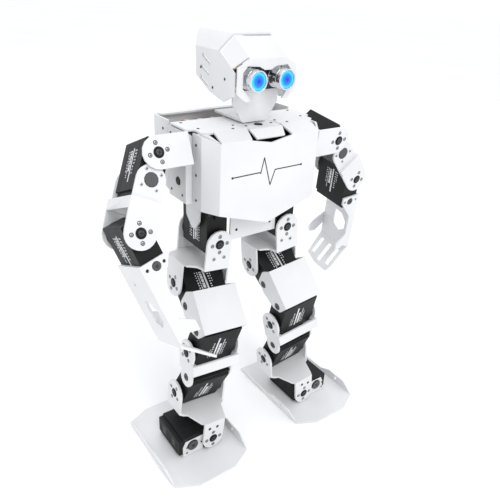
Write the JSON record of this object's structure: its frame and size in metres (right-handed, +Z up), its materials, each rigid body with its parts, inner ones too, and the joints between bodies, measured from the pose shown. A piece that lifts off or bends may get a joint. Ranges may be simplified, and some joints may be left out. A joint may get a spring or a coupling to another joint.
{
  "type": "humanoid robot kit",
  "caption": "Small standing humanoid robot of folded white brackets and black bus servos, with hands, flat feet and a two-eyed sensor head.",
  "frame": {"origin": "middle of the bounding box's footprint, on the floor under the feet", "axes": "+Z up, the robot faces -Y, its own left side is +X"},
  "size_m": [0.2768, 0.1232, 0.368],
  "materials": {
    "white_coat": "white powder coat on folded aluminium sheet",
    "servo_black": "fine-textured black nylon",
    "circuit_board": "dark solder mask",
    "battery_wrap": "shrink wrap",
    "bright_can": "polished"
  },
  "bodies": {
    "torso": {"chest_shell": "white_coat", "back_frame": "white_coat", "side_frame": "white_coat", "neck_mount": "white_coat", "collar_plate": "white_coat", "pelvis_bracket": "white_coat", "shoulder_pitch_servo_left": "servo_black", "shoulder_pitch_servo_right": "servo_black", "hip_roll_servo_left": "servo_black", "hip_roll_servo_right": "servo_black", "neck_servo": "servo_black", "controller_board": "circuit_board", "battery_pack": "battery_wrap"},
    "head": {"neck_bracket": "white_coat", "head_shell": "white_coat", "face_plate": "white_coat", "sensor_board": "circuit_board", "eye_can_left": "bright_can", "eye_can_right": "bright_can"},
    "shoulder_right": {"shoulder_bracket_right": "white_coat"},
    "upper_arm_right": {"shoulder_roll_servo_right": "servo_black", "upper_arm_bracket_right": "white_coat"},
    "forearm_right": {"elbow_servo_right": "servo_black", "hand_right": "white_coat"},
    "hip_right": {"hip_bracket_right": "white_coat"},
    "thigh_right": {"hip_pitch_servo_right": "servo_black", "knee_servo_right": "servo_black", "thigh_cover_right": "white_coat"},
    "shin_right": {"shin_bracket_right": "white_coat", "ankle_pitch_servo_right": "servo_black"},
    "ankle_right": {"ankle_bracket_right": "white_coat"},
    "foot_right": {"ankle_roll_servo_right": "servo_black", "foot_tray_right": "white_coat", "foot_sole_right": "white_coat"},
    "shoulder_left": {"shoulder_bracket_left": "white_coat"},
    "upper_arm_left": {"shoulder_roll_servo_left": "servo_black", "upper_arm_bracket_left": "white_coat"},
    "forearm_left": {"elbow_servo_left": "servo_black", "hand_left": "white_coat"},
    "hip_left": {"hip_bracket_left": "white_coat"},
    "thigh_left": {"hip_pitch_servo_left": "servo_black", "knee_servo_left": "servo_black", "thigh_cover_left": "white_coat"},
    "shin_left": {"shin_bracket_left": "white_coat", "ankle_pitch_servo_left": "servo_black"},
    "ankle_left": {"ankle_bracket_left": "white_coat"},
    "foot_left": {"ankle_roll_servo_left": "servo_black", "foot_tray_left": "white_coat", "foot_sole_left": "white_coat"}
  },
  "joints": [
    {"name": "neck_pan", "type": "hinge", "parent": "torso", "child": "head", "pos_m": [-0.00928, 0.0236, 0.3015], "axis": [0, 0, 1], "range_deg": [-90, 90]},
    {"name": "shoulder_pitch_right", "type": "hinge", "parent": "torso", "child": "shoulder_right", "pos_m": [-0.07479, 0.0204, 0.2802], "axis": [-1, 0, 0], "range_deg": [-45, 120]},
    {"name": "shoulder_roll_right", "type": "hinge", "parent": "shoulder_right", "child": "upper_arm_right", "pos_m": [-0.09949, 0.0204, 0.2802], "axis": [0, 0.9205, -0.3907], "range_deg": [-3, 80]},
    {"name": "elbow_right", "type": "hinge", "parent": "upper_arm_right", "child": "forearm_right", "pos_m": [-0.12592, -0.00078, 0.23031], "axis": [0, -0.9205, 0.3907], "range_deg": [-75, 3]},
    {"name": "hip_roll_right", "type": "hinge", "parent": "torso", "child": "hip_right", "pos_m": [-0.04628, 0.0203, 0.2027], "axis": [0, 1, 0], "range_deg": [-6, 12]},
    {"name": "hip_pitch_right", "type": "hinge", "parent": "hip_right", "child": "thigh_right", "pos_m": [-0.05107, 0.0245, 0.15715], "axis": [-0.9945, 0, 0.1045], "range_deg": [-45, 33]},
    {"name": "knee_right", "type": "hinge", "parent": "thigh_right", "child": "shin_right", "pos_m": [-0.05679, -0.0079, 0.10275], "axis": [0.9945, 0, -0.1045], "range_deg": [-30, 80]},
    {"name": "ankle_pitch_right", "type": "hinge", "parent": "shin_right", "child": "ankle_right", "pos_m": [-0.06242, 0.0056, 0.04915], "axis": [-0.9945, 0, 0.1045], "range_deg": [-35, 35]},
    {"name": "ankle_roll_right", "type": "hinge", "parent": "ankle_right", "child": "foot_right", "pos_m": [-0.06618, -0.0064, 0.0132], "axis": [0, 1, 0], "range_deg": [-20, 18]},
    {"name": "shoulder_pitch_left", "type": "hinge", "parent": "torso", "child": "shoulder_left", "pos_m": [0.05622, 0.0204, 0.2802], "axis": [-1, 0, 0], "range_deg": [-45, 120]},
    {"name": "shoulder_roll_left", "type": "hinge", "parent": "shoulder_left", "child": "upper_arm_left", "pos_m": [0.08092, 0.0204, 0.2802], "axis": [0, -0.9903, -0.1392], "range_deg": [-15, 60]},
    {"name": "elbow_left", "type": "hinge", "parent": "upper_arm_left", "child": "forearm_left", "pos_m": [0.11968, 0.02683, 0.23446], "axis": [0, 0.9903, 0.1392], "range_deg": [-75, 24]},
    {"name": "hip_roll_left", "type": "hinge", "parent": "torso", "child": "hip_left", "pos_m": [0.02772, 0.0203, 0.2027], "axis": [0, -1, 0], "range_deg": [-6, 30]},
    {"name": "hip_pitch_left", "type": "hinge", "parent": "hip_left", "child": "thigh_left", "pos_m": [0.0325, 0.0245, 0.15715], "axis": [-0.9945, 0, -0.1045], "range_deg": [-45, 33]},
    {"name": "knee_left", "type": "hinge", "parent": "thigh_left", "child": "shin_left", "pos_m": [0.03822, -0.0079, 0.10275], "axis": [0.9945, 0, 0.1045], "range_deg": [-30, 80]},
    {"name": "ankle_pitch_left", "type": "hinge", "parent": "shin_left", "child": "ankle_left", "pos_m": [0.04385, 0.0056, 0.04915], "axis": [-0.9945, 0, -0.1045], "range_deg": [-35, 35]},
    {"name": "ankle_roll_left", "type": "hinge", "parent": "ankle_left", "child": "foot_left", "pos_m": [0.04761, -0.0064, 0.0132], "axis": [0, -1, 0], "range_deg": [-20, 18]}
  ]
}
